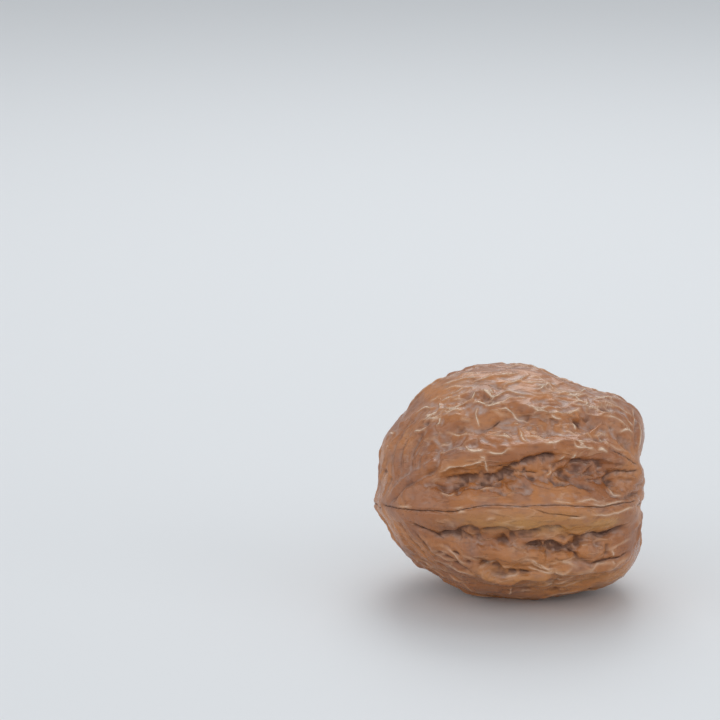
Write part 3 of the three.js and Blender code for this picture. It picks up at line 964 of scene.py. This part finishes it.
# %% Where the relief's patterns are read
LENGTHWISE = 0.55  # the pattern is drawn out along the nut, so it is squeezed before it is read
WARP_SIZE, WARP = 4.0, 2.2  # mm
CRINKLE_SIZE, CRINKLE = 1.3, 0.7  # mm
HALF_WAY = (0.5, 0.5, 0.5)
position = add_node(relief, "GeometryNodeInputPosition")
squeeze = Vector((LENGTHWISE, 1, 1)) / MM
place_mm = add_node(relief, "ShaderNodeVectorMath", [position, squeeze], operation="MULTIPLY")


def swirled_in_tree(vector, size, amount):
    """A place moved by up to about amount mm, by noise with lumps of a size in mm."""
    swirl = add_node(relief, "ShaderNodeTexNoise",
                     {"Vector": vector, "Scale": 1 / size, "W": given["Seed"]},
                     output="Color", noise_dimensions="4D")
    swirl = add_node(relief, "ShaderNodeVectorMath", [swirl, HALF_WAY], operation="SUBTRACT")
    swirl = add_node(relief, "ShaderNodeVectorMath", {0: swirl, "Scale": 2 * amount},
                     operation="SCALE")
    return add_node(relief, "ShaderNodeVectorMath", [vector, swirl], operation="ADD")


swirled_place = swirled_in_tree(place_mm, WARP_SIZE, WARP)
crinkled_place = swirled_in_tree(swirled_place, CRINKLE_SIZE, CRINKLE)


# %% The relief's patterns
def product(tree, *factors):
    """The product of any number of values, in a tree."""
    total = factors[0]
    for factor in factors[1:]:
        total = add_node(tree, "ShaderNodeMath", [total, factor], operation="MULTIPLY")
    return total


def waves(vector, size, detail):
    """Noise between -1 and 1, with lumps of a size in mm."""
    scale = add_node(relief, "ShaderNodeMath", [1.0, size], operation="DIVIDE")
    shade = add_node(relief, "ShaderNodeTexNoise",
                     {"Vector": vector, "Scale": scale, "Detail": detail, "W": given["Seed"]},
                     noise_dimensions="4D")
    return add_node(relief, "ShaderNodeMath", [shade, 2.0, -1.0], operation="MULTIPLY_ADD")


def cells(vector, spacing, **wanted):
    """Cells of a spacing in mm: the output of theirs that is wanted, of the feature that is."""
    scale = add_node(relief, "ShaderNodeMath", [1.0, spacing], operation="DIVIDE")
    return add_node(relief, "ShaderNodeTexVoronoi",
                    {"Vector": vector, "Scale": scale, "W": given["Seed"]},
                    voronoi_dimensions="4D", **wanted)


def edge_distance(vector, spacing):
    """The distance, in mm, to the nearest edge between cells of a spacing in mm."""
    edge = cells(vector, spacing, feature="DISTANCE_TO_EDGE", output="Distance")
    return product(relief, edge, spacing)


GAP_SIZE, GAP_LEVEL = 4.0, 0.35  # mm, and how far the gaps take over: more leaves fewer veins
GAP_END = 0.5  # of the gaps' noise, from where a vein is whole to where it is gone
pit_shade = cells(crinkled_place, given["Pit spacing"], feature="F1", output="Color")
gaps = add_node(relief, "ShaderNodeMath", [waves(place_mm, GAP_SIZE, 1.0), GAP_LEVEL], operation="ADD")
vein_level, crumple = (
    add_node(relief, "ShaderNodeMath", [level], operation="ABSOLUTE")
    for level in (waves(swirled_place, given["Vein spacing"], 1.0),
                  waves(swirled_place, given["Crumple size"], 2.0))
)
crumple = add_node(relief, "ShaderNodeMath", [crumple], operation="SQRT")

# %% Their lines: 1 in the middle, falling smoothly to 0 at a distance
GROOVE_WIDTH, VEIN_WIDTH = 0.75, 0.35  # mm, from the middle of the line to where it ends
PIT_SIDE = 0.5  # mm from the crest between two pits down to where their floors begin
groove_line, vein_line, vein_gaps, pit_sides = (
    add_node(relief, "ShaderNodeMapRange", [distance, 0.0, width, 1.0, 0.0],
             interpolation_type="SMOOTHSTEP")
    for distance, width in (
        (edge_distance(swirled_place, given["Groove spacing"]), GROOVE_WIDTH),
        (product(relief, vein_level, given["Vein spacing"]), VEIN_WIDTH),
        (gaps, GAP_END),
        (edge_distance(crinkled_place, given["Pit spacing"]), PIT_SIDE),
    )
)
vein_line = product(relief, vein_line, vein_gaps, share_of["freedom"])
crumple, pits, pit_depth = (
    add_node(relief, "ShaderNodeMath", [value, times, plus], operation="MULTIPLY_ADD")
    for value, times, plus in ((crumple, -1.0, 0.45), (pit_sides, 1.3, -1.0), (pit_shade, 1.3, 0.2))
)

# %% Their sum, and the move
PARTS = (
    (waves(swirled_place, given["Lump size"], 2.0), given["Lump height"], share_of["freedom"]),
    (groove_line, given["Groove depth"], share_of["freedom"], -1.0),
    (vein_line, given["Vein height"]),
    (crumple, given["Crumple height"], share_of["rough"]),
    (pits, given["Pit depth"], share_of["pitted"], pit_depth),
    (waves(place_mm, given["Grain size"], 3.0), given["Grain height"]),
)
rise = 0.0
for factors in PARTS:
    part_rise = product(relief, *factors)
    rise = add_node(relief, "ShaderNodeMath", [rise, part_rise], operation="ADD")

rise_m = product(relief, rise, MM)
normal = add_node(relief, "GeometryNodeInputNormal")
move = add_node(relief, "ShaderNodeVectorMath", {0: normal, "Scale": rise_m}, operation="SCALE")
shape = add_node(relief, "GeometryNodeSetPosition", {"Geometry": given["Geometry"], "Offset": move})
shape = add_node(relief, "GeometryNodeStoreNamedAttribute",
                 {"Geometry": shape, "Name": "fine vein", "Value": vein_line},
                 data_type="FLOAT", domain="POINT")
shape = add_node(relief, "GeometryNodeRealizeInstances", [shape])
shape = add_node(relief, "GeometryNodeSetMaterial", {"Geometry": shape, "Material": given["Material"]})
add_node(relief, "NodeGroupOutput", {"Geometry": shape})
print("relief tree:", len(relief.nodes), "nodes")

# %% [markdown]
# ## The shell's finish
# A walnut's shell is hard, dense wood. It comes out of its green husk with a smooth, faintly waxy
# skin, russet on the swells and honey-coloured along the seam, with dark husk residue and painted
# shade down in the pits and creases, and paler veins with a painted highlight on their crests. A
# painted sheen, pale and greyish, lies in the shallow hollows that face up. The finish reads where
# those are from the shell's own attributes, so colour and relief agree, and adds what is too fine
# to model: fibres and pores.

# %% The walnut shell's material
# Dry shell, as grown and unpolished: warm brown wood with a soft sheen, duller in the hollows.
RUSSET, TAN, HONEY, PLUM = "#9b6038", "#b37544", "#b9864c", "#88665a"
# The pale vein colour is a paler colour with a painted highlight, the crest colour a painted highlight,
# the dark brown residue and painted shade, the pale greyish one a painted sheen.
VEIN_COLOUR_AND_HIGHLIGHT, CREST_HIGHLIGHT, RESIDUE_AND_SHADE, PAINTED_SHEEN_COLOUR = "#dcb593", "#ead2ba", "#46271a", "#b0998f"
shell_finish = bpy.data.materials.new("walnut shell, dry and unpolished")
shell_finish.use_nodes = True
finish = shell_finish.node_tree
finish.nodes.clear()
where = add_node(finish, "ShaderNodeTexCoord", output="Object")
drawn_out = add_node(finish, "ShaderNodeMapping", {"Vector": where, "Scale": (0.3, 1, 1)})
MARKS = ("honey", "flank", "pale", "hollow", "painted_sheen", "crest_highlight_by_height",
         "vein offset", "vein nearness", "crease offset", "crease nearness")
mark = {
    name: add_node(finish, "ShaderNodeAttribute", output="Fac", attribute_name=name) for name in MARKS
}

# %% Its patterns
WRINKLE_SPACING, WRINKLE_WIDTH = 2.4, 0.2  # mm
PATTERNS = {  # name: (where it is read, mm across its lumps, detail)
    "patches": (drawn_out, 7, 2),
    "honey": (drawn_out, 3.5, 3),
    "blush": (where, 3.5, 3),
    "fibres": (drawn_out, 0.5, 4),
    "wrinkles": (drawn_out, WRINKLE_SPACING, 1.5),
    "wrinkle gaps": (where, 1.5 * WRINKLE_SPACING, 2),
    "painted_sheen": (where, 1.2, 4),
    "wear": (where, 1.1, 3),
    "sheen": (where, 3.5, 4),
    "pores": (where, 0.22, 2),
}
pattern = {
    name: add_node(finish, "ShaderNodeTexNoise",
                   {"Vector": place, "Scale": 1 / (size * MM), "Detail": detail})
    for name, (place, size, detail) in PATTERNS.items()
}
wrinkle_level = add_node(finish, "ShaderNodeMath", [pattern["wrinkles"], 0.5], operation="SUBTRACT")
from_wrinkle, from_vein, from_crease = (
    add_node(finish, "ShaderNodeMath", [signed], operation="ABSOLUTE")
    for signed in (wrinkle_level, mark["vein offset"], mark["crease offset"])
)

# %% Its shares
CREST_REACH, BOTTOM_REACH = 0.22, 0.11  # mm to either side of a vein's and a crease's middle
RAMPS = {  # name: (value, from low, to high, share when low, share when high), with soft ends
    "patches": (pattern["patches"], 0.4, 0.62, 0, 1),
    "honey": (pattern["honey"], 0.35, 0.6, 0.15, 0.85),
    "blush": (pattern["blush"], 0.48, 0.72, 0, 0.45),
    "fibres": (pattern["fibres"], 0.5, 0.75, 0, 0.35),
    "wrinkles": (from_wrinkle, 0, 0.5 * WRINKLE_WIDTH / WRINKLE_SPACING, 1, 0),
    "wrinkle gaps": (pattern["wrinkle gaps"], 0.42, 0.58, 0, 1),
    "pale": (mark["pale"], 0.1, 0.9, 0, 0.24),
    # share of residue and painted shade in the hollows
    "hollow": (mark["hollow"], 0, 1, 0, 0.76),
    "painted_sheen": (pattern["painted_sheen"], 0.35, 0.65, 0.2, 1),
    "wear": (pattern["wear"], 0.36, 0.54, 0.6, 1),
    "crests": (from_vein, 0, CREST_REACH, 1, 0),
    "crests near": (mark["vein nearness"], 0.05, 0.65, 0, 1),
    "bottoms": (from_crease, 0, BOTTOM_REACH, 1, 0),
    "bottoms near": (mark["crease nearness"], 0.05, 0.65, 0, 1),
    "sheen": (pattern["sheen"], 0.3, 0.7, 0.22, 0.38),
}
share = {
    name: add_node(finish, "ShaderNodeMapRange", ramp, interpolation_type="SMOOTHSTEP")
    for name, ramp in RAMPS.items()
}
wrinkles = product(finish, share["wrinkles"], share["wrinkle gaps"], mark["flank"])
# The crests carry a painted highlight and the crease bottoms a painted shade; both also shape the bumps.
crests = product(finish, share["crests"], share["crests near"], share["wear"], mark["crest_highlight_by_height"])
bottoms = product(finish, share["bottoms"], share["bottoms near"], share["wear"])

# %% Its colour, layer by layer
LAYERS = (  # each laid on those before it, by its share
    (TAN, share["patches"]),
    (HONEY, product(finish, mark["honey"], share["honey"])),
    (PLUM, share["blush"]),
    (RESIDUE_AND_SHADE, share["fibres"]),
    # pale wrinkles and veins: a paler colour and a painted highlight on their raised lines
    (VEIN_COLOUR_AND_HIGHLIGHT, product(finish, wrinkles, 0.2)),
    (VEIN_COLOUR_AND_HIGHLIGHT, share["pale"]),
    # residue and painted shade, darkest down in the deep hollows
    (RESIDUE_AND_SHADE, share["hollow"]),
    # painted sheen: a pale greyish colour on the shallow hollows that face up
    (PAINTED_SHEEN_COLOUR, product(finish, mark["painted_sheen"], share["painted_sheen"], 0.8)),
    # painted highlight along the crests of the veins
    (CREST_HIGHLIGHT, product(finish, crests, 0.95)),
    # painted shade along the bottoms of the creases
    (RESIDUE_AND_SHADE, product(finish, bottoms, 0.5)),
)
colour = linear(RUSSET)
for layer, amount in LAYERS:
    colour = add_node(finish, "ShaderNodeMix", {0: amount, 6: colour, 7: linear(layer)},
                      output=2, data_type="RGBA")

# %% Its sheen and its bumps
dullness = product(finish, mark["hollow"], 0.3)
roughness = add_node(finish, "ShaderNodeMath", [share["sheen"], dullness],
                     operation="ADD", use_clamp=True)
fine = add_node(finish, "ShaderNodeMath", [crests, bottoms], operation="SUBTRACT")
BUMPS = (  # (height, strength, mm)
    (fine, 1.0, 0.12),
    (wrinkles, 0.7, 0.14),
    (pattern["fibres"], 0.5, 0.12),
    (pattern["pores"], 0.3, 0.05),
)
bumped = {}
for height, strength, distance in BUMPS:
    inputs = {"Height": height, "Strength": strength, "Distance": distance * MM, **bumped}
    bumped = {"Normal": add_node(finish, "ShaderNodeBump", inputs)}
SHELL_IOR = 1.53  # of wood and of the thin waxy skin on it
skin = add_node(finish, "ShaderNodeBsdfPrincipled",
                {"Base Color": colour, "Roughness": roughness, "IOR": SHELL_IOR, **bumped})
add_node(finish, "ShaderNodeOutputMaterial", {"Surface": skin})
print("finish:", shell_finish.name, len(finish.nodes), "nodes")

# %% [markdown]
# ## From the carved blank to the finished shell
# The carved points become a mesh, with the attributes that the relief and the finish read. The
# relief is a modifier only while it works: its result is taken as a plain mesh, because a packed
# or exported piece holds no live modifier. Last, what is below the floor is pressed flat, as the
# nut's small resting spot is, and the hollows are measured: for the residue and painted shade
# down in them, and for the painted sheen in the shallow ones that face up.

# %% Regions of the shell
along, sideways, above = carved.T
from_axis = np.hypot(sideways, above)
from_front = np.abs(np.degrees(np.arctan2(above, -sideways)))  # degrees round from the front edge


def grown(values, start, full):
    """0 up to start, then growing evenly to 1 at full."""
    return np.clip((values - start) / (full - start), 0, 1)


def stripe(values, middle, half_width, steepness=2):
    """1 along the middle, about a third at half_width to either side, and soon 0 beyond."""
    return np.exp(-(((values - middle) / half_width) ** steepness))


on_front = grown(from_front, 112.5, 22.5)
near_edge = grown(np.abs(sideways), 9, 13)
near_tip = grown(along, 10, 3)
near_stem = grown(along, 36, 40) * grown(from_axis, 15, 11)
crown = grown(above, 14, 18)
front_cheek_share = grown(above, 8.5, 10.5) * (sideways < 0)
band = stripe(above, -1.1, 2.6) * near_edge
shoulder_line = np.interp(along, [8, 15, 24, 32, 40], [5.5, 7, 8, 8.3, 6.6])
shoulder = stripe(above, shoulder_line, 1.7) * near_edge * (sideways < 0)
valley_line = np.interp(along, [12, 16, 24, 32, 40], [2.9, 3.4, 4.6, 5.0, 4.2])
valleys = stripe(above, valley_line, 1.8, 4) + 0.35 * stripe(above, -5.7, 1.4, 4)
lower_ridge = stripe(above, -10.8, 1.6) * grown(along, 14, 19)

# %% How much of each there is
held_back = np.where(above < 0, 0.35, 0.55) * np.clip(2.2 * on_front, 0, 1)
freedom = (1 - held_back) * (1 - 0.75 * band) * (1 - 0.25 * grown(sideways, 0, 6))
freedom *= (1 - 0.6 * near_stem) * (1 - 0.5 * near_tip)
smooth_share = 0.85 * band + 0.75 * shoulder + 0.7 * near_tip + 0.6 * near_stem + 0.3 * crown
smooth_share += 0.45 * front_cheek_share + 0.25 * (sideways > 0)  # the back is calmer than the front
honey_line = stripe(above, -2.6, 1.5) * near_edge * grown(along, 8, 20)
attributes = {
    "freedom": freedom,
    "rough": np.clip(1 - smooth_share, 0.12, 1),
    "pitted": valleys * near_edge * grown(along, 10, 15) * grown(along, 41.5, 38.5),
    "honey": np.clip(honey_line + 0.35 * lower_ridge, 0, 1),
    "stroke stain": stain_and_shade,
    "stroke vein": pale,
}
for kind, line in fine_lines.items():
    for name, values in line.items():
        attributes[f"{kind} {name}"] = values

# %% The mesh, and its relief
mesh = bpy.data.meshes.new("walnut_shell")
mesh.from_pydata(to_model(carved).tolist(), [], faces.tolist())
mesh.shade_smooth()
for name, values in attributes.items():
    mesh.attributes.new(name, "FLOAT", "POINT").data.foreach_set("value", values.astype(np.float32))
walnut_shell = bpy.data.objects.new("walnut_shell", mesh)
bpy.context.collection.objects.link(walnut_shell)

SEED = 7.0
modifier = walnut_shell.modifiers.new("shell relief", "NODES")
modifier.node_group = relief
sockets = {item.name: item.identifier for item in relief.interface.items_tree if item.in_out == "INPUT"}
for name, value in {**RELIEF_SIZES, "Seed": SEED, "Material": shell_finish}.items():
    modifier[sockets[name]] = value
evaluated = walnut_shell.evaluated_get(bpy.context.evaluated_depsgraph_get())
finished = bpy.data.meshes.new_from_object(evaluated)
finished.name = "walnut_shell"
walnut_shell.modifiers.remove(modifier)
walnut_shell.data = finished
bpy.data.meshes.remove(mesh)


# %% Read and write the finished mesh
def read(name, width=1):
    """One of the finished mesh's attributes, as numbers."""
    kind = "value" if width == 1 else "vector"
    values = np.empty(len(finished.vertices) * width, dtype=np.float32)
    finished.attributes[name].data.foreach_get(kind, values)
    return values if width == 1 else values.reshape(-1, width).astype(float)


def write(name, values):
    """Values at the points, as a new attribute of the finished mesh."""
    attribute = finished.attributes.new(name, "FLOAT", "POINT")
    attribute.data.foreach_set("value", values.astype(np.float32))


# %% Blunt the needles, and press the resting spot flat
BLUNT_ROUNDS, BLUNTEST = 4, 0.05  # rounds, and mm that a point may stand out from its neighbours
BLUNTED = 0.7  # of what stands out further, taken away in each round
skin_points = read("position", 3) / MM
for _ in range(BLUNT_ROUNDS):
    outward = normals_of(skin_points)
    stands_out = dot(skin_points - skin_points[neighbours].mean(axis=1), outward)
    skin_points -= outward * BLUNTED * np.clip(stands_out - BLUNTEST, 0, None)[:, None]
skin_points[:, 2] = np.maximum(skin_points[:, 2], 0)
finished.attributes["position"].data.foreach_set("vector", (skin_points * MM).astype(np.float32).ravel())
finished.shade_smooth()
skin_normals = normals_of(skin_points)


# %% Find the hollows
def sunk(rounds):
    """Mm that each point lies below the shell smoothed by that many rounds."""
    return dot(smoothed(skin_points, rounds) - skin_points, skin_normals)


NARROW_DEPTH, WIDE_DEPTH = 0.16, 0.75  # mm below its surroundings at which a hollow is all residue and painted shade
PAINTED_SHEEN_DEPTH = 0.1  # mm below its surroundings at which an upward hollow has all its painted sheen
narrow = sunk(10)
depth = 0.6 * grown(narrow, 0, NARROW_DEPTH) + 0.7 * grown(sunk(90), 0, WIDE_DEPTH)
upward = grown(skin_normals[:, 2], 0.1, 0.7)
# Painted sheen: shallow hollows that face up, towards the light overhead, get a pale greyish colour.
painted_sheen = upward * np.clip(0.15 + sunk(30) / PAINTED_SHEEN_DEPTH, 0, 1) * np.clip(1.4 - depth, 0, 1)
above_seam = to_nut(skin_points * MM)[:, 2]
write("painted_sheen", painted_sheen)
write("crest_highlight_by_height", np.clip(0.55 + (above_seam - 4) / 14, 0.5, 1))  # painted highlight on the crests, strongest near the top
write("flank", np.clip(1.7 - 2 * np.abs(skin_normals[:, 0]), 0.1, 1))
# Residue and painted shade: darker the deeper a point lies, and less where the painted sheen is.
write("hollow", np.clip((depth * 0.8 + read("stroke stain") * 0.25) * (1 - 0.6 * painted_sheen), 0, 1))
# Pale veins: a paler colour and a painted highlight on the raised lines, fading in the hollows.
write("pale", np.clip(np.maximum(read("stroke vein"), read("fine vein")) - 0.8 * depth, 0, 1))
print("shell:", 2 * len(finished.polygons), "triangles; narrow hollows to", round(narrow.max(), 2), "mm")

# %% [markdown]
# ## Floor and light
# A plain pale floor runs out of sight. A broad soft light hangs overhead and a smaller one behind
# the nut, so every ridge has a milky sheen on its upper side and a shaded hollow under it. Broad
# fills in front and at both sides, with a pale sky, keep the lower half readable. One hard light
# would show the relief more strongly, but it would hide the colours in the hollows.

# %% The floor
FLOOR_REACH = 3.0
corners = [(x * FLOOR_REACH, y * FLOOR_REACH, 0) for x, y in ((-1, -1), (1, -1), (1, 1), (-1, 1))]
floor_mesh = bpy.data.meshes.new("floor")
floor_mesh.from_pydata(corners, [], [(0, 1, 2, 3)])
floor = bpy.data.objects.new("floor", floor_mesh)
bpy.context.collection.objects.link(floor)
paint = bpy.data.materials.new("matt pale floor paint")  # a plain ground, too rough to mirror the nut
paint.use_nodes = True
paint_inputs = paint.node_tree.nodes["Principled BSDF"].inputs
paint_inputs["Base Color"].default_value = linear("#dcdfe2")
paint_inputs["Roughness"].default_value = 0.6
floor_mesh.materials.append(paint)
floor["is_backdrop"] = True

# %% The lights
LIGHTS = {  # name: (size m, power W, place m)
    "overhead softbox": (0.6, 1.2, (0.05, 0.25, 0.75)),
    "back softbox": (0.3, 0.7, (0.0, 0.4, 0.45)),
    "front fill": (1.0, 1.85, (-0.1, -0.8, 0.3)),
    "left fill": (0.6, 1.25, (-0.7, -0.35, 0.2)),
    "right fill": (0.6, 1.3, (0.7, -0.35, 0.2)),
}
for name, (size, power, place_m) in LIGHTS.items():
    softbox = bpy.data.lights.new(name, "AREA")
    softbox.size, softbox.energy = size, power
    holder = bpy.data.objects.new(name, softbox)
    holder.location = place_m
    holder.rotation_euler = (centre - Vector(place_m)).to_track_quat("-Z", "Y").to_euler()
    bpy.context.collection.objects.link(holder)
sky = bpy.data.worlds.new("pale sky")
bpy.context.scene.world = sky
sky.use_nodes = True
sky_inputs = sky.node_tree.nodes["Background"].inputs
sky_inputs["Color"].default_value = linear("#e9ecef")
sky_inputs["Strength"].default_value = 0.65
bpy.context.scene.view_settings.view_transform = "Standard"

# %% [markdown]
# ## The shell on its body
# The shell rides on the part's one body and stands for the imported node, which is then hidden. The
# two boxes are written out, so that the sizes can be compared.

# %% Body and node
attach(walnut_shell, "root")
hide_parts("walnut")

# %% The two boxes
low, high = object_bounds()
apart = [round((v - c) / MM, 2) for v, c in zip((*low, *high), (*cad_low, *cad_high))]
print("visual minus CAD, mm:", apart)
